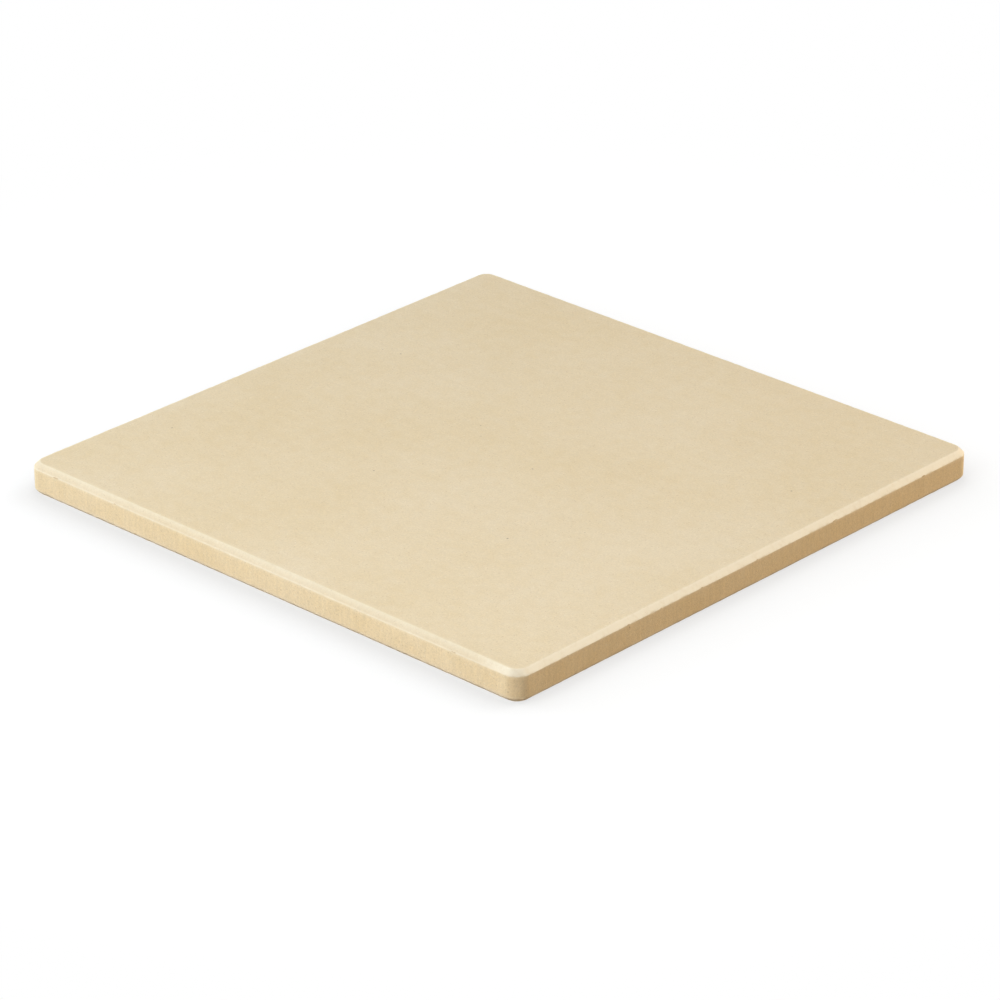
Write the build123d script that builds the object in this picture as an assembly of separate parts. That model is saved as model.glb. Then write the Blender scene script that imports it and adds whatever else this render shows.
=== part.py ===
from build123d import *
import os

# A square ceramic baking stone, in millimetres.
# The origin is the centre of the face it rests on, +Z is up, and its sides lie along X and Y.

# The whole slab
stone_width = 300.0
stone_depth = 300.0
stone_thickness = 15.0
corner_radius = 7.5

# The baking edge: a straight bevel round the top, pressed at 45 degrees
top_bevel = 2.5
baking_arris_radius = 0.8
side_arris_radius = 0.3

# The under edge: the smaller bevel that lets the slab leave its mould, also at 45 degrees
under_bevel = 2.0
under_arris_radius = 0.4


def rim(solid, height):
    """The closed run of edges round the slab that lies at this height."""
    return solid.edges().filter_by_position(Axis.Z, height, height)


def stone_slab():
    """One pressed and fired slab, with its upright corners rounded and every edge bevelled."""
    outline = RectangleRounded(stone_width, stone_depth, corner_radius)
    slab = extrude(outline, amount=stone_thickness)
    slab = chamfer(rim(slab, stone_thickness), length=top_bevel)
    slab = chamfer(rim(slab, 0), length=under_bevel)
    # The bevels meet the broad faces and the sides in worn, slightly round arrises
    slab = fillet(rim(slab, stone_thickness), radius=baking_arris_radius)
    slab = fillet(rim(slab, stone_thickness - top_bevel), radius=side_arris_radius)
    slab = fillet(rim(slab, under_bevel), radius=under_arris_radius)
    slab = fillet(rim(slab, 0), radius=under_arris_radius)
    return slab


os.makedirs("parts", exist_ok=True)
slab = stone_slab()
export_step(slab, "parts/stone_slab.step")
print(f"stone_slab: {slab.volume:.0f} mm3, {slab.bounding_box().size}")
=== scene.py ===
# %% [markdown]
# # A square ceramic baking stone
# The real stone is one slab of pressed and fired ceramic. Nothing is joined to it and nothing moves,
# so the whole lesson is about one piece: its outline, its bevels, the wear and painted highlight along its
# edges, and a sandy material that looks right both from a step away and close up.
#
# The first step loads the measured frame of the stone. Its box gives the width, depth and thickness.

# %% Load the frame
import math
import random

import bmesh
import bpy
from mathutils import Matrix, Vector


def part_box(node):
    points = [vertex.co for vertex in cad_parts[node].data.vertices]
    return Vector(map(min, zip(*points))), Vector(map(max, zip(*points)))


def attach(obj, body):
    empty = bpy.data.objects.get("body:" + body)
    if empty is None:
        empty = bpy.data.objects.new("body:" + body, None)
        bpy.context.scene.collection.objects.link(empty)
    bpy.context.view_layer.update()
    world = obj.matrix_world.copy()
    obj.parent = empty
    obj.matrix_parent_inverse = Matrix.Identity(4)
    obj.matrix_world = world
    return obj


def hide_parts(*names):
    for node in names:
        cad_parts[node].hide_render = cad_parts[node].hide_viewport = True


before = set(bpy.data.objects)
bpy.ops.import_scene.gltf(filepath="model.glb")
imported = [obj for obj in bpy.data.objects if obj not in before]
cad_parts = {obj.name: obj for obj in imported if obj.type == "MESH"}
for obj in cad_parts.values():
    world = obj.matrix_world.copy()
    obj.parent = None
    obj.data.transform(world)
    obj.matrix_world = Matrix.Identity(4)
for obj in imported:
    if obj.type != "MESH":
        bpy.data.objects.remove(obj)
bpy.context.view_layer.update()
low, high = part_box("stone_slab")
print("stone from", tuple(low), "to", tuple(high))

# %% [markdown]
# ## Sizes
# Everything is in metres. The sides and the thickness come from the frame, and the edge sizes are those
# of the press die: a 2.5 mm bevel round the baking face, a 2 mm bevel underneath, and small rounds
# called arrises where two faces meet. A pressed edge is never razor sharp, and those small rounds are
# what catches the light.

# %% Sizes of the stone
mm = 0.001
width = high.x - low.x
depth = high.y - low.y
thickness = high.z - low.z
corner_radius = 7.5 * mm
corner_segments = 16

top_bevel = 2.5 * mm
top_side_arris = 0.3 * mm
top_face_arris = 0.8 * mm
under_bevel = 2.0 * mm
under_side_arris = 0.4 * mm
under_face_arris = 0.4 * mm

# A bevel of 45 degrees turns the edge by 45 degrees, so each round reaches this share of its radius
bevel_angle = math.radians(45)
arris_reach_share = math.tan(bevel_angle / 2)
print(f"slab {width / mm:.1f} x {depth / mm:.1f} x {thickness / mm:.1f} mm")

# %% [markdown]
# ## Working in edit mode from code
# An operator acts on whatever is selected, so each step first clears the selection and then picks faces
# or edges by where they are. These small helpers keep that in one place.

# %% Helpers for selecting
def work_on(piece):
    """Makes this the only selected and active object, and enters edit mode with nothing selected."""
    bpy.ops.object.select_all(action="DESELECT")
    piece.select_set(True)
    bpy.context.view_layer.objects.active = piece
    bpy.ops.object.mode_set(mode="EDIT")
    bpy.ops.mesh.select_all(action="DESELECT")


def pick_faces(piece, wanted):
    """Selects the faces for which wanted(centre, normal) holds."""
    bpy.ops.mesh.select_mode(type="FACE")
    bpy.ops.mesh.select_all(action="DESELECT")
    mesh = bmesh.from_edit_mesh(piece.data)
    picked = [face for face in mesh.faces if wanted(face.calc_center_median(), face.normal)]
    for face in picked:
        face.select_set(True)
    bmesh.update_edit_mesh(piece.data)


def pick_edges(piece, wanted):
    """Selects the edges for which wanted(one end, other end) holds, and counts them."""
    bpy.ops.mesh.select_mode(type="EDGE")
    bpy.ops.mesh.select_all(action="DESELECT")
    mesh = bmesh.from_edit_mesh(piece.data)
    picked = [edge for edge in mesh.edges if wanted(edge.verts[0].co, edge.verts[1].co)]
    for edge in picked:
        edge.select_set(True)
    bmesh.update_edit_mesh(piece.data)
    return len(picked)


# %% [markdown]
# ## The band and its corners
# The slab could be one bevelled cube, but then every edge would have the same round. Here the cube is
# only the upright band between the two bevels. Its four upright edges are bevelled into the rounded
# corners of the die, and the bevels are then drawn up and down from it, ring by ring.

# %% The upright band with its rounded corners
band_low = under_bevel + under_side_arris * arris_reach_share
band_high = thickness - top_bevel - top_side_arris * arris_reach_share
band_middle = Vector(((low.x + high.x) / 2, (low.y + high.y) / 2, low.z + (band_low + band_high) / 2))

bpy.ops.object.select_all(action="DESELECT")
bpy.ops.mesh.primitive_cube_add(size=1, location=band_middle, scale=(width, depth, band_high - band_low))
stone = bpy.context.active_object
stone.name = stone.data.name = "baking_stone"
bpy.ops.object.transform_apply(location=True, rotation=True, scale=True)

work_on(stone)
upright_count = pick_edges(stone, lambda a, b: abs(a.z - b.z) > mm)
bpy.ops.mesh.bevel(offset=corner_radius, segments=corner_segments, affect="EDGES")
print("rounded", upright_count, "upright edges")

# %% [markdown]
# ## The bevels, drawn by insets
# Seen from the side, each edge of the slab is a short path: a small round, the straight bevel, another
# small round, and a margin on the broad face. Insetting a face by a step and raising it by a step adds
# one ring along that path. The rings lie closest together on the rounds, where the shape turns fastest.

# %% The path of an edge, as places (inward from the side, below the broad face)
def between(start, end, share):
    """The value that lies this share of the way from start to end."""
    return start + (end - start) * share


def edge_path(bevel, side_arris, face_arris, side_steps, bevel_steps, face_steps, margins):
    """The rings from the top of the upright band to the flat of the broad face."""
    side_centre_below = bevel + side_arris * arris_reach_share
    face_centre_inward = bevel + face_arris * arris_reach_share
    path = []
    for step in range(side_steps + 1):
        angle = bevel_angle * step / side_steps
        path.append((side_arris * (1 - math.cos(angle)), side_centre_below - side_arris * math.sin(angle)))
    face_round = []
    for step in range(face_steps + 1):
        angle = bevel_angle * (1 + step / face_steps)
        inward = face_centre_inward - face_arris * math.cos(angle)
        face_round.append((inward, face_arris * (1 - math.sin(angle))))
    foot, head = path[-1], face_round[0]
    for step in range(1, bevel_steps):
        path.append(tuple(between(start, end, step / bevel_steps) for start, end in zip(foot, head)))
    path += face_round
    path += [(face_centre_inward + margin, 0.0) for margin in margins]
    return path


def draw_edge(piece, upwards, path):
    """Draws rings from a flat end of the band along the path. Upwards is 1 on top and -1 underneath."""
    nearly_level = 0.9
    pick_faces(piece, lambda centre, normal: normal.z * upwards > nearly_level)
    for (inward, below), (next_inward, next_below) in zip(path, path[1:]):
        bpy.ops.mesh.inset(thickness=next_inward - inward, depth=below - next_below, use_even_offset=True)


margins = [0.4 * mm, 1.2 * mm, 2.4 * mm, 3.6 * mm]
top_path = edge_path(top_bevel, top_side_arris, top_face_arris,
                     side_steps=3, bevel_steps=5, face_steps=4, margins=margins)
under_path = edge_path(under_bevel, under_side_arris, under_face_arris,
                       side_steps=3, bevel_steps=4, face_steps=3, margins=margins)
draw_edge(stone, 1, top_path)
draw_edge(stone, -1, under_path)
margin_inward = top_path[-1][0]
print("rings above the band", len(top_path) - 1, "and below it", len(under_path) - 1)

# %% [markdown]
# ## Cutting the slab into a grid
# Fine wear needs points to move. Bisecting the whole mesh with planes cuts the flat faces and the rim
# alike, so the columns round the rim line up with the grid on the broad faces. The planes stop where the
# rounded corners begin, which keeps the corners clean.

# %% Rows up the band and a grid across the faces
cut_threshold = 0.001 * mm


def cut(piece, along, places):
    """Bisects the whole mesh with a plane at each place along an axis."""
    for place in places:
        bpy.ops.mesh.select_all(action="SELECT")
        bpy.ops.mesh.bisect(plane_co=along * place, plane_no=along, threshold=cut_threshold)


def even_places(start, end, most):
    """Evenly spaced places from start to end, no further apart than most."""
    count = math.ceil((end - start) / most)
    return [start + (end - start) * step / count for step in range(count + 1)]


grid_spacing = 5 * mm
row_spacing = 1.1 * mm
row_near_arris = 0.4 * mm
rows = even_places(low.z + band_low + row_near_arris, low.z + band_high - row_near_arris, row_spacing)
cut(stone, Vector((0, 0, 1)), rows)
cut(stone, Vector((1, 0, 0)), even_places(low.x + corner_radius, high.x - corner_radius, grid_spacing))
cut(stone, Vector((0, 1, 0)), even_places(low.y + corner_radius, high.y - corner_radius, grid_spacing))
print("after the grid", len(bmesh.from_edit_mesh(stone.data).faces), "faces")

# %% [markdown]
# The rim needs finer columns than the faces do, because that is where a stone gets knocked. Only the
# edges that run along the rim are divided, so the grid on the faces stays coarse and cheap.

# %% Finer columns round the rim
same_place = 0.002 * mm


def inward_of(place):
    """How far a point on a straight stretch lies in from the nearest side."""
    return min(place.x - low.x, high.x - place.x, place.y - low.y, high.y - place.y)


def in_corner(place):
    """True inside the square that holds a rounded corner."""
    return (min(place.x - low.x, high.x - place.x) < corner_radius - same_place
            and min(place.y - low.y, high.y - place.y) < corner_radius - same_place)


def runs_along_rim(a, b):
    """True for an edge that runs along a straight stretch of the rim."""
    level = abs(a.z - b.z) < same_place and abs(inward_of(a) - inward_of(b)) < same_place
    return level and not in_corner((a + b) / 2) and inward_of(a) < margin_inward + same_place


column_spacing = 0.72 * mm
extra_cuts = math.ceil(grid_spacing / column_spacing) - 1
divided = pick_edges(stone, runs_along_rim)
bpy.ops.mesh.subdivide(number_cuts=extra_cuts, smoothness=0, ngon=True, quadcorner="STRAIGHT_CUT")
bpy.ops.object.mode_set(mode="OBJECT")
print("divided", divided, "edges, now", len(stone.data.polygons), "faces")

# %% [markdown]
# ## Wear and a pressed surface, moved in the mesh
# Three things take the slab away from a perfect block. The broad faces lie a little uneven, because the
# powder never fills a die quite evenly. The arrises are slightly ragged, because grains pull out of them.
# The third is its chips, which come after these two. A Displace modifier with a cloud texture makes the
# first two: it moves points along their normals, all over the slab for the first, and where a vertex group
# says for the second. The middle level is 1, so points only ever move inwards and the stone never grows.

# %% How near each point is to an arris
arris_lines = {
    "top_side": (0.0, thickness - top_bevel),
    "top_face": (top_bevel, thickness),
    "under_side": (0.0, under_bevel),
    "under_face": (under_bevel, 0.0),
}


def inward_all_round(place):
    """How far a point lies in from the side, with the rounded corners followed."""
    from_x = min(place.x - low.x, high.x - place.x)
    from_y = min(place.y - low.y, high.y - place.y)
    if from_x < corner_radius and from_y < corner_radius:
        return corner_radius - math.hypot(corner_radius - from_x, corner_radius - from_y)
    return min(from_x, from_y)


def near_arris(place, reach):
    """1 on the nearest arris, falling to 0 at the reach."""
    inward, height = inward_all_round(place), place.z - low.z
    nearest = min(math.hypot(inward - line[0], height - line[1]) for line in arris_lines.values())
    return max(0.0, 1 - nearest / reach)


def add_group(piece, name, reach):
    """A vertex group whose weight falls away from the arrises."""
    group = piece.vertex_groups.new(name=name)
    count = 0
    for vertex in piece.data.vertices:
        weight = near_arris(vertex.co, reach)
        if weight > 0:
            group.add([vertex.index], weight, "REPLACE")
            count += 1
    return count


ragged_reach = 0.9 * mm
print("points near an arris", add_group(stone, "arris", ragged_reach))

# %% [markdown]
# ### Moving the points
# Broad lumps of 55 mm move the whole slab in by up to 0.1 mm, which a finger can't feel but a low light
# shows. Small ones of 2.6 mm move only the arrises, by up to 0.16 mm, and break up their straight lines.

# %% Displace the faces and the arrises
cloud_detail = 2


def move_inwards(piece, name, feature, amount, group="", contrast=1.0):
    """Applies a cloud-shaped inward move: feature is the size of its lumps, amount the most it moves."""
    clouds = bpy.data.textures.new(name, type="CLOUDS")
    clouds.noise_scale = feature
    clouds.noise_depth = cloud_detail
    clouds.contrast = contrast
    modifier = piece.modifiers.new(name, "DISPLACE")
    modifier.texture = clouds
    modifier.texture_coords = "LOCAL"
    modifier.mid_level = 1.0
    modifier.strength = amount
    modifier.vertex_group = group
    bpy.ops.object.modifier_apply(modifier=name)


broad_lumps, broad_move = 55 * mm, 0.10 * mm
small_lumps, small_move = 2.6 * mm, 0.16 * mm
work_on(stone)
bpy.ops.object.mode_set(mode="OBJECT")
move_inwards(stone, "uneven_filling", broad_lumps, broad_move)
move_inwards(stone, "ragged_arris", small_lumps, small_move, group="arris", contrast=2.0)
heights = [vertex.co.z for vertex in stone.data.vertices]
print(f"the slab now stands from {min(heights) / mm:.3f} to {max(heights) / mm:.3f} mm")

# %% [markdown]
# ## Chips
# A dropped spoon or a rack bar knocks small flakes off an edge. They could be sculpted, but a boolean
# cut with a rough pebble gives what a knock gives: a shallow hollow with a crisp border. One pebble is
# modelled from a sphere, and copies of it, each stretched and turned its own way, are laid along the
# arrises and cut away. The broken faces keep the pebble's material slot, so they get a finish of their
# own. The random places come from a fixed seed, so the stone is the same each time.

# %% The pebble
bpy.ops.object.select_all(action="DESELECT")
bpy.ops.mesh.primitive_ico_sphere_add(subdivisions=3, radius=1.0)
pebble = bpy.context.active_object
pebble.name = "chip_pebble"
knapped = bpy.data.textures.new("knapped", type="VORONOI")
knapped.noise_scale = 0.9
knap = pebble.modifiers.new("knap", "DISPLACE")
knap.texture = knapped
knap.strength = -0.35
knap.mid_level = 0.3
bpy.ops.object.modifier_apply(modifier="knap")

# %% [markdown]
# ### Laying one pebble
# A flake is usually longest along the edge that was knocked, and it goes only one to three tenths of a
# millimetre deep. So each pebble is stretched along its arris, and its middle stays outside the stone. The
# way out of an arris lies halfway between the two faces that meet there.

# %% Lay one pebble on an arris
chance = random.Random(12)
arris_rise = {"top_side": 22.5, "top_face": 67.5, "under_side": -22.5, "under_face": -67.5}
thickness_share, most_lean = 0.6, 0.06


def arris_place(side, along, line):
    """A place on an arris, with the directions along and out of it. Side 0 faces -Y, and they go round."""
    turn = Matrix.Rotation(side * math.radians(90), 3, "Z")
    inward, height = arris_lines[line]
    half = (depth if side % 2 == 0 else width) / 2
    place = turn @ Vector((along, inward - half, 0)) + Vector((0, 0, low.z + height))
    rise = math.radians(arris_rise[line])
    out = turn @ Vector((0, -math.cos(rise), math.sin(rise)))
    return place, turn @ Vector((1, 0, 0)), out


def lay_pebble(side, along, line, length, breadth, bite):
    """Copies the pebble to an arris, so that it bites that deep into the stone."""
    place, run, out = arris_place(side, along, line)
    across = out.cross(run)
    thick = breadth * thickness_share
    roll = Matrix.Rotation(chance.uniform(0, math.tau), 3, "X")
    roll = roll @ Matrix.Rotation(chance.uniform(0, math.tau), 3, "Z")
    lean = Matrix.Rotation(chance.uniform(-most_lean, most_lean), 3, out)
    axes = Matrix((run, across, out)).transposed()
    stretch = Matrix.Diagonal(Vector((length / 2, breadth / 2, thick / 2)))
    shape = (lean @ axes @ stretch @ roll).to_4x4()
    shape.translation = place + out * (thick / 2 - bite)
    copy = pebble.copy()
    copy.data = pebble.data.copy()
    copy.data.transform(shape)
    bpy.context.collection.objects.link(copy)
    return copy


# %% [markdown]
# ### Going round the slab
# Knocks land mostly on the upper outer arris, and least on the arrises of the two broad faces. The steps
# between them are uneven, so no two sides are alike.

# %% Lay pebbles along the four sides
breadths = (1.6, 2.6)
step_shares = (0.4, 1.6)
knocks = {  # for each arris, in millimetres: the usual spacing, the range of lengths and the range of bites
    "top_side": (24, (1.5, 8), (0.10, 0.32)),
    "top_face": (55, (1, 3.5), (0.08, 0.2)),
    "under_side": (40, (1.5, 6), (0.10, 0.3)),
    "under_face": (60, (1, 4), (0.08, 0.25)),
}


def lay_along(side, line, spacing, lengths, bites):
    """Lays pebbles along one side at uneven steps."""
    half = (width if side % 2 == 0 else depth) / 2 - corner_radius
    laid, along = [], -half + chance.uniform(0, spacing)
    while along < half:
        length = chance.uniform(*lengths) * mm
        bite = chance.uniform(*bites) * mm
        laid.append(lay_pebble(side, along, line, length, chance.uniform(*breadths) * mm, bite))
        along += length + chance.uniform(*step_shares) * spacing
    return laid


pebbles = []
for side in range(4):
    for line, (spacing, lengths, bites) in knocks.items():
        pebbles += lay_along(side, line, spacing * mm, lengths, bites)
print("pebbles", len(pebbles))

# %% [markdown]
# ## Materials
# All of the stone is one ceramic, but its faces were made differently. The die's polished plates press
# the broad faces smooth and grey-cream. The sides scrape along the die wall as the slab is pushed out,
# which leaves them warmer and streaked upright. The arrises are rubbed pale by wear, and the bevels are
# painted paler still: the upper one mostly as a painted highlight with some wear, the lower one as painted
# light in its shade. A broken face shows the coarse grain inside. So there are four materials, made of the
# same few shared groups of nodes: grain, scattered dots, kiln clouds, drawn marks, worn edges with painted
# highlight, and rail marks.

# %% Helpers for nodes
def linear(red, green, blue):
    """A colour as it is seen on a screen, 0 to 255, turned into the linear values that nodes use."""
    def channel(value):
        share = value / 255
        return share / 12.92 if share <= 0.04045 else ((share + 0.055) / 1.055) ** 2.4
    return (channel(red), channel(green), channel(blue), 1.0)


def node(tree, kind, inputs=None, **settings):
    """Adds a node, sets it up, and fills its inputs: a socket is linked and anything else is a value."""
    made = tree.nodes.new(kind)
    for name, value in settings.items():
        setattr(made, name, value)
    for name, value in (inputs or {}).items():
        if isinstance(value, bpy.types.NodeSocket):
            tree.links.new(value, made.inputs[name])
        else:
            made.inputs[name].default_value = value
    return made


def maths(tree, operation, *values, clamp=False):
    """The result of one sum."""
    made = node(tree, "ShaderNodeMath", dict(enumerate(values)), operation=operation, use_clamp=clamp)
    return made.outputs["Value"]


# %% [markdown]
# ### A word for each common sum
# Sandy ceramic takes dozens of small sums, noises and blends. With a word for each of them, the groups
# below read like a recipe and not like a list of nodes and links.

# %% Sums, noise and blends
def one_over(tree, value):
    """One divided by the value: the scale of a texture, from the size of its features."""
    return maths(tree, "DIVIDE", 1.0, value)


def weighted_sum(tree, *pairs):
    """The sum of the values, each times its weight."""
    total = maths(tree, "MULTIPLY", *pairs[0])
    for value, weight in pairs[1:]:
        total = maths(tree, "MULTIPLY_ADD", value, weight, total)
    return total


def noise(tree, place, scale, detail, roughness=0.5):
    """Noise from 0 to 1 at a place."""
    inputs = {"Vector": place, "Scale": scale, "Detail": detail, "Roughness": roughness}
    return node(tree, "ShaderNodeTexNoise", inputs).outputs["Fac"]


def mapped(tree, value, start, end, to_start=0.0, to_end=1.0, smooth=False):
    """The value, stretched so that start and end land on 0 and 1, or on the numbers given."""
    inputs = {"Value": value, "From Min": start, "From Max": end, "To Min": to_start, "To Max": to_end}
    how = "SMOOTHSTEP" if smooth else "LINEAR"
    return node(tree, "ShaderNodeMapRange", inputs, interpolation_type=how).outputs["Result"]


def blend_colour(tree, how, share, first, second):
    """The result of mixing two colours. A Mix node has several sockets called A, so they go by number."""
    share_in, first_in, second_in, colour_out = 0, 6, 7, 2
    inputs = {share_in: share, first_in: first, second_in: second}
    return node(tree, "ShaderNodeMix", inputs, data_type="RGBA", blend_type=how).outputs[colour_out]


# %% [markdown]
# ### Making a group
# A group is built once and set in many materials, as a jig is used for many workpieces. It needs named
# sockets at both ends, so one helper makes them and hands back the tree with its two ends.

# %% A new node group
def new_group(name, inputs, outputs):
    """A shader node group with named inputs, given as name: (kind, start value), and named outputs."""
    tree = bpy.data.node_groups.new(name, "ShaderNodeTree")
    for socket, (kind, value) in inputs.items():
        made = tree.interface.new_socket(socket, in_out="INPUT", socket_type="NodeSocket" + kind)
        if value is not None:
            made.default_value = value
    for socket, kind in outputs.items():
        tree.interface.new_socket(socket, in_out="OUTPUT", socket_type="NodeSocket" + kind)
    return tree, tree.nodes.new("NodeGroupInput").outputs, tree.nodes.new("NodeGroupOutput").inputs


# %% [markdown]
# ### Grain
# Fired cordierite is a fine body packed with crushed grains, much like sandstone. A Voronoi texture gives
# the packing: each cell is one grain with a tone of its own, rounded towards its rim. Noise at two sizes
# adds the clumps and the fine body between. The group gives a tone that varies about a half, and a height
# in millimetres for the bump.

# %% The grain group
grain, given, out = new_group(
    "ceramic_grain",
    {"Place": ("Vector", None), "Grain size": ("Float", 0.5)},
    {"Tone": "Float", "Height": "Float"},
)
per_grain = one_over(grain, given["Grain size"])
packed = node(grain, "ShaderNodeTexVoronoi", {"Vector": given["Place"], "Scale": per_grain}).outputs
own_tone = node(grain, "ShaderNodeSeparateColor", {"Color": packed["Color"]}).outputs["Red"]
crown, clump_scale, fine_scale = 0.6, 0.45, 2.6
rounded = maths(grain, "SUBTRACT", crown, packed["Distance"])
per_clump, per_fine = (maths(grain, "MULTIPLY", per_grain, scale) for scale in (clump_scale, fine_scale))
clumps = noise(grain, given["Place"], per_clump, detail=2.0, roughness=0.6)
fine = noise(grain, given["Place"], per_fine, detail=3.0, roughness=0.65)
tone = weighted_sum(grain, (own_tone, 0.22), (clumps, 0.45), (fine, 0.33))
lumps = weighted_sum(grain, (rounded, 0.12), (clumps, 0.16), (fine, 0.14))
grain.links.new(tone, out["Tone"])
grain.links.new(maths(grain, "MULTIPLY", lumps, given["Grain size"]), out["Height"])

# %% [markdown]
# ### Scattered dots
# Iron specks, crushed grains and open pores all look like dots strewn at random, so one group makes
# them all. A Voronoi texture gives each cell a centre and a random colour. The colour decides whether
# the cell holds a dot at all, how large it is and how strong, so the dots never form a regular pattern.
# A little noise in the place keeps them from being round.

# %% The dots group
dots, given, out = new_group(
    "scattered_dots",
    {"Place": ("Vector", None), "Spacing": ("Float", 2.0), "Share": ("Float", 0.3), "Radius": ("Float", 0.3)},
    {"Mask": "Float"},
)
wander, wander_scale = (0.35, 0.35, 0.35), 1.9
least_size, least_strength, hard_core = 0.5, 0.4, 0.55
wobble = node(dots, "ShaderNodeTexNoise", {"Vector": given["Place"], "Scale": wander_scale, "Detail": 1.0})
wobbled = node(dots, "ShaderNodeVectorMath", {0: wobble.outputs["Color"], 1: wander, 2: given["Place"]},
               operation="MULTIPLY_ADD").outputs["Vector"]
per_cell = one_over(dots, given["Spacing"])
cells = node(dots, "ShaderNodeTexVoronoi", {"Vector": wobbled, "Scale": per_cell}).outputs
lot = node(dots, "ShaderNodeSeparateColor", {"Color": cells["Color"]}).outputs
held = maths(dots, "LESS_THAN", lot["Red"], given["Share"])
size = maths(dots, "MULTIPLY", given["Radius"], maths(dots, "ADD", lot["Green"], least_size))
from_centre = maths(dots, "MULTIPLY", cells["Distance"], given["Spacing"])
dot = mapped(dots, from_centre, size, maths(dots, "MULTIPLY", size, hard_core), smooth=True)
strength = maths(dots, "MULTIPLY_ADD", lot["Blue"], 1 - least_strength, least_strength)
dots.links.new(maths(dots, "MULTIPLY", maths(dots, "MULTIPLY", dot, held), strength), out["Mask"])

# %% [markdown]
# ### Kiln clouds
# Heat and flame are never even in a kiln, so the colour drifts a little over centimetres. The group adds
# a broad drift and a smaller mottle, and gives a share from 0 (warmer) to 1 (cooler).

# %% The clouds group
clouds, given, out = new_group(
    "kiln_clouds",
    {"Place": ("Vector", None), "Broad size": ("Float", 80.0), "Mottle size": ("Float", 7.0)},
    {"Share": "Float"},
)
broad = noise(clouds, given["Place"], one_over(clouds, given["Broad size"]), detail=2.0)
mottle = noise(clouds, given["Place"], one_over(clouds, given["Mottle size"]), detail=4.0, roughness=0.65)
both = weighted_sum(clouds, (broad, 0.5), (mottle, 0.5))
clouds.links.new(mapped(clouds, both, start=0.35, end=0.65), out["Share"])

# %% [markdown]
# ### Marks in one direction
# The sides are scraped upright as the slab leaves the die, and the broad face is struck level by a blade
# that runs along X before it is pressed. Both leave faint lines. Stretching the place before a noise
# draws them out: a small number along one axis makes the lines long that way.

# %% The marks group
marks, given, out = new_group(
    "drawn_marks",
    {"Place": ("Vector", None), "Stretch": ("Vector", (1.0, 1.0, 0.06)), "Width": ("Float", 1.6)},
    {"Share": "Float"},
)
drawn = node(marks, "ShaderNodeVectorMath", {0: given["Place"], 1: given["Stretch"]}, operation="MULTIPLY")
lines = noise(marks, drawn.outputs["Vector"], one_over(marks, given["Width"]), detail=3.0, roughness=0.55)
marks.links.new(mapped(marks, lines, start=0.36, end=0.64), out["Share"])

# %% [markdown]
# ### Worn edges and painted highlight
# An arris is rubbed pale by hands, racks and cloths, but never evenly. The bevels are painted pale as well:
# the upper one mostly as a painted highlight, the lower one as painted light in its shade. The mesh stores
# this as one number, and noise breaks it up: where the number is weak only the high spots turn pale.

# %% The group of worn edges and painted highlight
worn_and_highlit_edge, given, out = new_group(
    "worn_and_highlit_edge",
    {"Place": ("Vector", None), "Rub": ("Float", 0.0), "Patch size": ("Float", 3.0)},
    {"Mask": "Float"},
)
patch_gain, patch_least = 1.6, 0.25
per_patch = one_over(worn_and_highlit_edge, given["Patch size"])
patches = noise(worn_and_highlit_edge, given["Place"], per_patch, detail=4.0, roughness=0.7)
wear = maths(worn_and_highlit_edge, "MULTIPLY_ADD", patches, patch_gain, patch_least)
uneven = maths(worn_and_highlit_edge, "MULTIPLY", given["Rub"], wear)
worn_and_highlit_edge.links.new(maths(worn_and_highlit_edge, "MINIMUM", uneven, 1.0), out["Mask"])

# %% [markdown]
# ### Marks of the kiln rails
# In the kiln the slab stands on rails, and where it touched them it fires a little paler. Two straight
# bands across the underside show it. Noise in the distance frays their borders.

# %% The rail marks group
rail_marks, given, out = new_group(
    "rail_marks",
    {"Place": ("Vector", None), "From middle": ("Float", 88.0), "Half width": ("Float", 7.0)},
    {"Mask": "Float"},
)
border, fraying, fray_scale = 3.0, 9.0, 0.35
across = node(rail_marks, "ShaderNodeSeparateXYZ", {"Vector": given["Place"]}).outputs["X"]
beside = maths(rail_marks, "SUBTRACT", maths(rail_marks, "ABSOLUTE", across), given["From middle"])
fray = noise(rail_marks, given["Place"], fray_scale, detail=4.0, roughness=0.7)
frayed = maths(rail_marks, "MULTIPLY_ADD", fray, fraying, maths(rail_marks, "ABSOLUTE", beside))
outer = maths(rail_marks, "ADD", given["Half width"], border)
band = mapped(rail_marks, frayed, given["Half width"], outer, to_start=1.0, to_end=0.0, smooth=True)
rail_marks.links.new(band, out["Mask"])

# %% [markdown]
# ### The ceramic itself
# Every finish is built the same way, in three steps. First the groups are set in the material, at the
# place on the stone in millimetres: they say where grains, specks, pores, wear and painted highlight lie.
# Then the colour is laid up from the body outwards. Last come the dullness and the relief. What differs
# from face to face is only the values, so each finish is a short list of them.

# %% Where everything lies
def placed(tree):
    """A function that sets a group in this material, at the place on the stone in millimetres."""
    metres = node(tree, "ShaderNodeTexCoord").outputs["Object"]
    place = node(tree, "ShaderNodeVectorMath", {0: metres, "Scale": 1 / mm}, operation="SCALE").outputs[0]

    def of(group, **values):
        """The outputs of the group; _ in a name stands for a space."""
        inputs = {socket.replace("_", " "): value for socket, value in values.items()}
        return node(tree, "ShaderNodeGroup", {"Place": place, **inputs}, node_tree=group).outputs

    return of


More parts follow.
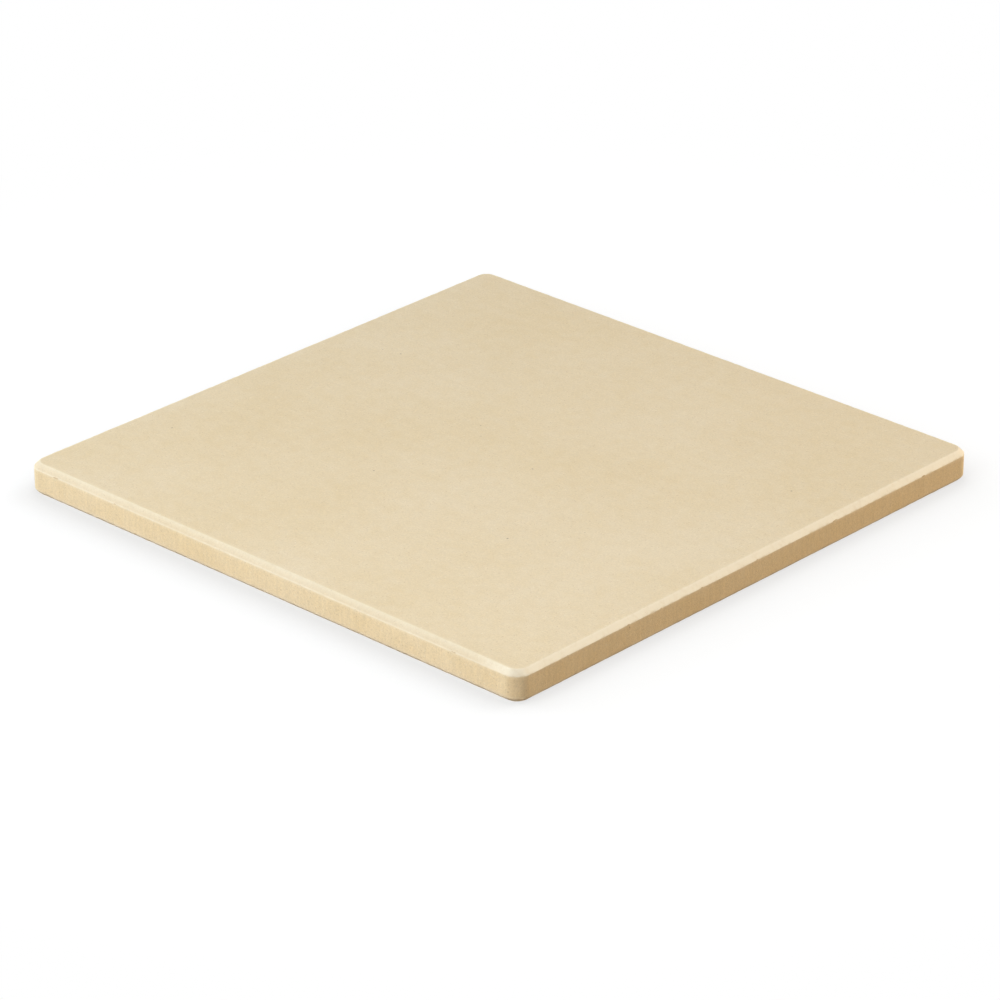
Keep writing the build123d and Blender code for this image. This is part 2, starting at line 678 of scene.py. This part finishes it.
def masks_of(tree, of):
    """Where the crushed grains, pale grains, iron specks, open pores, and the wear with painted highlight of
    a finish lie.
    """
    wear_and_painted_light = node(tree, "ShaderNodeAttribute", attribute_name="wear_and_painted_light").outputs["Fac"]
    return {
        "crushed": of(dots, Spacing=1.3, Share=0.40, Radius=0.26)["Mask"],
        "pale": of(dots, Spacing=1.7, Share=0.35, Radius=0.30)["Mask"],
        "iron": of(dots, Spacing=10.0, Share=0.30, Radius=0.36)["Mask"],
        "pores": of(dots, Spacing=2.1, Share=0.35, Radius=0.17)["Mask"],
        # wear on the arrises, with a painted highlight and painted light on the bevels
        "wear_and_highlight": of(worn_and_highlit_edge, Rub=wear_and_painted_light)["Mask"],
    }


# %% [markdown]
# ### Laying up the colour
# The body comes first: the kiln drifts it between warmer and cooler, each grain has its own tone, and the
# drawn marks shade it. Then come the layers that lie on it: crushed and pale grains, the marks of the
# rails, the pale of worn arrises with the painted highlight and painted light of the bevels over them, and
# at last the specks and pores, which that pale layer never hides. Each layer is mixed in by its own mask,
# so any of them can be left out or retuned.

# %% The colour, laid up from the body outwards
warm_drift_shares, cool_drift_shares = (0.99, 0.98, 0.955), (1.01, 1.015, 1.03)
layers = {  # how fully each layer covers what is under it, and its colour
    "crushed": (0.40, (176, 146, 106)),
    "pale": (0.45, (247, 240, 224)),
    "iron": (0.75, (112, 84, 58)),
    "pores": (0.55, (146, 118, 84)),
}
rail_colour = (244, 235, 214)


def shaded(tree, colour, tone, amount):
    """Makes a colour up to that share darker or lighter, by a tone from 0 to 1."""
    gain = mapped(tree, tone, 0.0, 1.0, 1 - amount, 1 + amount)
    return blend_colour(tree, "MULTIPLY", 1.0, colour, gain)


def laid_over(tree, colour, mask, amount, upper):
    """Lays a colour over another where the mask says, by at most that amount."""
    return blend_colour(tree, "MIX", maths(tree, "MULTIPLY", mask, amount), colour, linear(*upper))


def body_colour(tree, of, grains, finish):
    """The fired body: its drift in the kiln, the tone of each grain, and the drawn marks."""
    warm = linear(*(value * share for value, share in zip(finish["body"], warm_drift_shares)))
    cool = linear(*(value * share for value, share in zip(finish["body"], cool_drift_shares)))
    colour = blend_colour(tree, "MIX", of(clouds)["Share"], warm, cool)
    tone = mapped(tree, grains["Tone"], start=0.3, end=0.7)
    colour = shaded(tree, colour, tone, finish["grain_strength"])
    lines = of(marks, Stretch=finish["stretch"], Width=finish["mark_width"])["Share"]
    return shaded(tree, colour, lines, finish["marked"])


def surface_colour(tree, of, masks, colour, finish):
    """What lies on the body: crushed and pale grains, rail marks, wear with painted highlight and painted
    light, iron specks and pores.
    """
    colour = laid_over(tree, colour, masks["crushed"], *layers["crushed"])
    colour = laid_over(tree, colour, masks["pale"], *layers["pale"])
    if finish.get("rails"):
        colour = laid_over(tree, colour, of(rail_marks)["Mask"], finish["rails"], rail_colour)
    # the pale layer: worn arrises, and a painted highlight and painted light on the bevels
    colour = laid_over(tree, colour, masks["wear_and_highlight"], 1.0, finish["worn_and_highlit_colour"])
    colour = laid_over(tree, colour, masks["iron"], *layers["iron"])
    return laid_over(tree, colour, masks["pores"], *layers["pores"])


# %% [markdown]
# ### One function for the four finishes
# Unglazed ceramic is dull, so the roughness lies near 0.87. It varies with the tone of the grains, and where
# the mask of wear and painted highlight is strong it is a little smoother. The relief is a bump: on pressed
# faces the grains stand up by a few hundredths of a millimetre, on broken ones by more, and the pores go
# down by a tenth. The height is given in millimetres, and the distance of the bump turns it into metres.

# %% The ceramic material
base_dullness, dullness_of_tone, polish_of_rubbing = 0.76, 0.22, 0.18
shine, pore_depth = 0.35, 0.10


def ceramic(name, finish):
    """A material of the stone, from the values of one finish."""
    material = bpy.data.materials.new(name)
    material.use_nodes = True
    tree = material.node_tree
    shader = tree.nodes["Principled BSDF"]
    of = placed(tree)
    grains = of(grain, Grain_size=finish["grain_size"])
    masks = masks_of(tree, of)
    colour = surface_colour(tree, of, masks, body_colour(tree, of, grains, finish), finish)
    tree.links.new(colour, shader.inputs["Base Color"])

    dull = maths(tree, "MULTIPLY_ADD", grains["Tone"], dullness_of_tone, base_dullness)
    polish = maths(tree, "MULTIPLY", masks["wear_and_highlight"], polish_of_rubbing)
    tree.links.new(maths(tree, "SUBTRACT", dull, polish), shader.inputs["Roughness"])
    shader.inputs["Specular IOR Level"].default_value = shine

    height = maths(tree, "MULTIPLY", grains["Height"], finish["relief"])
    height = maths(tree, "SUBTRACT", height, maths(tree, "MULTIPLY", masks["pores"], pore_depth))
    bump = node(tree, "ShaderNodeBump", {"Height": height, "Strength": 1.0, "Distance": mm})
    tree.links.new(bump.outputs["Normal"], shader.inputs["Normal"])
    return material


# %% [markdown]
# ### The four finishes
# Colours are written as a screen shows them, grain sizes and mark widths are in millimetres, and the
# strengths are shares. The stretch is along X on the broad faces and upright on the rim.

# %% The values of each finish
along_x, upright = (0.02, 1.0, 1.0), (1.0, 1.0, 0.06)
# The second colour of each finish is the pale of worn arrises, and of the painted highlight and painted light
# on the bevels.
baking_face_finish = ceramic("pressed_baking_face", dict(
    body=(229, 215, 187), worn_and_highlit_colour=(250, 243, 224), grain_size=0.45, grain_strength=0.07, relief=0.6,
    marked=0.006, stretch=along_x, mark_width=2.2))
rim_finish = ceramic("scraped_rim", dict(
    body=(239, 222, 187), worn_and_highlit_colour=(246, 237, 218), grain_size=0.50, grain_strength=0.09, relief=0.8,
    marked=0.025, stretch=upright, mark_width=1.5))
underside_finish = ceramic("kiln_side", dict(
    body=(226, 210, 180), worn_and_highlit_colour=(240, 230, 208), grain_size=0.60, grain_strength=0.10, relief=1.2,
    marked=0.012, stretch=along_x, mark_width=3.0, rails=0.45))
broken_finish = ceramic("broken_ceramic", dict(
    body=(214, 192, 154), worn_and_highlit_colour=(222, 202, 166), grain_size=0.75, grain_strength=0.16, relief=3.0,
    marked=0.0, stretch=upright, mark_width=1.5))

# %% [markdown]
# ### Where each finish goes
# The slots are given by the direction a face looks in. The die's upper plate presses the baking face and
# its bevel, the lower plate presses the underside and its bevel, and the rest is the scraped rim. The
# pebbles carry the broken finish, and the boolean hands it to the faces that they cut.

# %% Slots, and the cut
for material in (baking_face_finish, rim_finish, underside_finish):
    stone.data.materials.append(material)
plate_side = 0.3
for face in stone.data.polygons:
    upwards = face.normal.z
    face.material_index = 0 if upwards > plate_side else 2 if upwards < -plate_side else 1
for copy in pebbles:
    copy.data.materials.append(broken_finish)

bpy.data.objects.remove(pebble)
bpy.ops.object.select_all(action="DESELECT")
for copy in pebbles:
    copy.select_set(True)
bpy.context.view_layer.objects.active = pebbles[0]
bpy.ops.object.join()
cutters = bpy.context.active_object

bpy.ops.object.select_all(action="DESELECT")
stone.select_set(True)
bpy.context.view_layer.objects.active = stone
chips = stone.modifiers.new("chips", "BOOLEAN")
chips.operation = "DIFFERENCE"
chips.object = cutters
chips.solver = "MANIFOLD"
chips.material_mode = "TRANSFER"
bpy.ops.object.modifier_apply(modifier="chips")
bpy.data.objects.remove(cutters)
print("slots", [material.name for material in stone.data.materials])

# %% [markdown]
# ### Wear and painted light, kept on the mesh
# How pale each point is painted is stored on the mesh as an attribute. All arrises are rubbed pale by wear.
# The bevel underneath is painted pale as painted light, where it lies in shade against the floor. The upper
# bevel is painted paler, mostly as a painted highlight with some wear, most of all at its head. Towards the
# side at +X it is pale from head to foot, and that painted highlight fades away from that side.

# %% The attribute of wear and painted light
wear_and_painted_light = stone.data.attributes.new("wear_and_painted_light", "FLOAT", "POINT")
arris_rub, arris_rub_reach = 0.65, 0.8 * mm
# the bevel underneath: painted light where it lies in shade
under_bevel_painted_light = 0.8
# the upper bevel, at its foot and head, away from +X and at +X: a painted highlight with some wear, growing
# towards +X
plain_foot_highlight, plain_head_highlight = 0.0, 0.45
bright_side_foot_highlight, bright_side_head_highlight = 0.95, 1.0
bright_side_from, bright_side_to = 120 * mm, high.x


def towards_bright_side(place):
    """0 far from the side at +X, where the painted highlight on the bevel is brightest, rising smoothly to 1
    on it.
    """
    share = min(1.0, max(0.0, (place.x - bright_side_from) / (bright_side_to - bright_side_from)))
    return share * share * (3 - 2 * share)


def bevel_painted_light(place):
    """How pale a bevel is painted at this place: a painted highlight on the upper bevel, painted light in the
    shade of the bevel underneath, and 0 off the bevels.
    """
    inward, height = inward_all_round(place), place.z - low.z
    up_the_bevel = (height - thickness + top_bevel) / top_bevel
    if inward < top_bevel and up_the_bevel > 0:
        foot = between(plain_foot_highlight, bright_side_foot_highlight, towards_bright_side(place))
        head = between(plain_head_highlight, bright_side_head_highlight, towards_bright_side(place))
        return between(foot, head, up_the_bevel)
    return under_bevel_painted_light if inward < under_bevel and height < under_bevel else 0.0


# each point gets the wear of its arris, or the painted highlight and painted light of its bevel, whichever is
# paler
for vertex, value in zip(stone.data.vertices, wear_and_painted_light.data):
    value.value = max(near_arris(vertex.co, arris_rub_reach) * arris_rub, bevel_painted_light(vertex.co))

# %% [markdown]
# ### Smooth shading, and a count of open edges
# Faces that meet at less than 35 degrees are shaded as one round surface, so the arrises look round and the
# borders of the chips stay crisp. The stone is a solid thing, so its mesh has to be closed everywhere, and
# the count of open edges shows whether it is.

# %% Smooth the shading and check the mesh
smooth_below = math.radians(35)
bpy.ops.object.shade_smooth_by_angle(angle=smooth_below)

work_on(stone)
bpy.ops.mesh.select_mode(type="EDGE")
bpy.ops.mesh.select_non_manifold()
mesh = bmesh.from_edit_mesh(stone.data)
open_edges = sum(edge.select for edge in mesh.edges)
bpy.ops.object.mode_set(mode="OBJECT")
stone.data.calc_loop_triangles()
print("triangles", len(stone.data.loop_triangles), "open edges", open_edges)

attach(stone, "root")
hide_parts("stone_slab")

# %% [markdown]
# ## Floor, light and camera
# A plain pale floor carries the stone's shadow. It is one wide plane under the stone, and it is not
# attached to the stone's body.

# %% The floor
floor_width = 8.0
bpy.ops.object.select_all(action="DESELECT")
bpy.ops.mesh.primitive_plane_add(size=floor_width)
floor = bpy.context.active_object
floor.name = "floor"

# %% [markdown]
# ### Paper that stays white
# To the camera the floor is white wherever no shadow falls, by its own colour and not by stronger lamps:
# most of what the camera sees is its own white, dimmed close to the stone, and a little is the light that
# reaches it. Light that lands meets a plain floor instead, which gives a soft warm bounce. From below the
# floor is clear, and so it is to the underside that lies on it, which the surround can then light.

# %% The floor's material
paper = bpy.data.materials.new("white_paper")
paper.use_nodes = True
tree = paper.node_tree
tree.nodes.clear()
own_white = 0.91
white_colour = (1.0, 1.0, 1.0, 1.0)
contact_shadow, darkest_contact, contact_reach = 0.50, 0.79, 0.08
caught_colour = (0.125, 0.130, 0.135, 1.0)
bounce_colour = (0.50, 0.41, 0.31, 1.0)
shadow_fades_from, shadow_ends_at = 0.26, 0.45
touching = 0.5 * mm


def seen_directly(tree, rays):
    """1 for rays of the camera, and for what shines or passes through, and 0 for light that lands."""
    looked_at = maths(tree, "ADD", rays["Is Camera Ray"], rays["Is Glossy Ray"])
    return maths(tree, "ADD", looked_at, rays["Is Transmission Ray"], clamp=True)


rays = node(tree, "ShaderNodeLightPath").outputs
seen = seen_directly(tree, rays)
open_sky = node(tree, "ShaderNodeAmbientOcclusion", {"Distance": contact_reach}, samples=16).outputs["AO"]
dimmed = maths(tree, "MULTIPLY_ADD", open_sky, contact_shadow, 1 - contact_shadow)
dimmed = maths(tree, "MAXIMUM", dimmed, darkest_contact)
white_strength = maths(tree, "MULTIPLY", dimmed, own_white)
white = node(tree, "ShaderNodeEmission", {"Color": white_colour, "Strength": white_strength}).outputs[0]
lit = node(tree, "ShaderNodeBsdfDiffuse", {"Color": caught_colour}).outputs[0]
near = node(tree, "ShaderNodeAddShader", {0: white, 1: lit}).outputs[0]
far = node(tree, "ShaderNodeEmission", {"Color": white_colour, "Strength": 1.0}).outputs[0]
place = node(tree, "ShaderNodeTexCoord").outputs["Object"]
reach = node(tree, "ShaderNodeVectorMath", {0: place}, operation="LENGTH").outputs["Value"]
fade = mapped(tree, reach, shadow_fades_from, shadow_ends_at, smooth=True)
shown = node(tree, "ShaderNodeMixShader", {0: fade, 1: near, 2: far}).outputs[0]
bounce = node(tree, "ShaderNodeBsdfDiffuse", {"Color": bounce_colour}).outputs[0]
whole = node(tree, "ShaderNodeMixShader", {0: seen, 1: bounce, 2: shown}).outputs[0]
from_below = node(tree, "ShaderNodeNewGeometry").outputs["Backfacing"]
from_underside = maths(tree, "LESS_THAN", rays["Ray Length"], touching)
see_through = maths(tree, "MAXIMUM", from_below, from_underside)
clear = node(tree, "ShaderNodeBsdfTransparent").outputs[0]
both_sides = node(tree, "ShaderNodeMixShader", {0: see_through, 1: whole, 2: clear}).outputs[0]
node(tree, "ShaderNodeOutputMaterial", {"Surface": both_sides})
floor.data.materials.append(paper)

# %% [markdown]
# ### Five soft lamps
# Lamps that are wide for their distance give soft shading without hard shadows, as a studio's softboxes do.
# The largest stands far behind and lights the baking face and the bevel on the right, and one in front
# lights the left side and evens the face. Two low lamps, cool on the left and warm on the right, give the
# sides their tones, and a small one overhead brightens the bevel where it turns round the front corner.

# %% The lamps
def softbox(name, azimuth, elevation, distance, size, colour, watts):
    """A square lamp that faces the stone. Azimuth 0 stands at -Y, and it grows towards +X."""
    turn, tilt = math.radians(azimuth), math.radians(elevation)
    away = Vector((math.sin(turn) * math.cos(tilt), -math.cos(turn) * math.cos(tilt), math.sin(tilt)))
    bpy.ops.object.light_add(type="AREA", location=away * distance)
    lamp = bpy.context.active_object
    lamp.name = name
    lamp.data.shape = "SQUARE"
    lamp.data.size = size
    lamp.data.color = colour
    lamp.data.energy = watts
    lamp.rotation_mode = "QUATERNION"
    lamp.rotation_quaternion = away.to_track_quat("Z", "Y")


softbox("back", azimuth=161, elevation=44, distance=6.0, size=2.4, colour=(0.94, 0.97, 0.97), watts=170)
softbox("front", azimuth=1, elevation=36, distance=1.5, size=0.63, colour=(1.0, 1.0, 1.0), watts=10.2)
softbox("low_left", azimuth=-64, elevation=14, distance=2.4, size=1.0, colour=(0.88, 0.95, 1.0), watts=34.2)
softbox("low_right", azimuth=150, elevation=14, distance=1.5, size=0.63, colour=(1.0, 0.66, 0.31), watts=8.7)
softbox("overhead", azimuth=30, elevation=55, distance=1.5, size=0.63, colour=(1.0, 0.88, 0.68), watts=4.8)

# %% [markdown]
# ### The surround
# To the camera the surround is white. To light that lands it is dim above the floor, where the lamps alone
# should shade the stone, and brighter below it, where it lights the underside.

# %% The surround
world = bpy.data.worlds.new("surround")
bpy.context.scene.world = world
world.use_nodes = True
tree = world.node_tree
tree.nodes.clear()
light_from_above, light_from_below = 0.02, 0.87
seen = seen_directly(tree, node(tree, "ShaderNodeLightPath").outputs)
look = node(tree, "ShaderNodeSeparateXYZ", {"Vector": node(tree, "ShaderNodeTexCoord").outputs["Generated"]})
downwards = maths(tree, "LESS_THAN", look.outputs["Z"], 0.0)
dim = maths(tree, "MULTIPLY_ADD", downwards, light_from_below - light_from_above, light_from_above)
surround = node(tree, "ShaderNodeBackground", {"Color": white_colour, "Strength": dim}).outputs[0]
backdrop = node(tree, "ShaderNodeBackground", {"Color": white_colour, "Strength": 1.0}).outputs[0]
mixed = node(tree, "ShaderNodeMixShader", {0: seen, 1: surround, 2: backdrop}).outputs[0]
node(tree, "ShaderNodeOutputWorld", {"Surface": mixed})

# %% [markdown]
# ### The camera
# The camera stands where the edges of the stone say it stood: a long lens, 26 degrees above the floor,
# turned 43 degrees so that a corner comes forward.

# %% The camera
camera_turn = math.radians(43.08)
camera_tilt = math.radians(25.82)
camera_distance = 2.1346
camera_aside = -0.0002
camera_lift = -0.0072

bpy.ops.object.camera_add()
camera = bpy.context.active_object
camera.name = "camera"
camera.data.sensor_width = 36
camera.data.lens = 170.65
camera.rotation_euler = (math.radians(90) - camera_tilt, 0, camera_turn)
bpy.context.view_layer.update()
facing = camera.matrix_world.to_3x3()
camera.location = facing @ Vector((camera_aside, camera_lift, camera_distance))
bpy.context.scene.camera = camera
bpy.context.scene.view_settings.view_transform = "Standard"
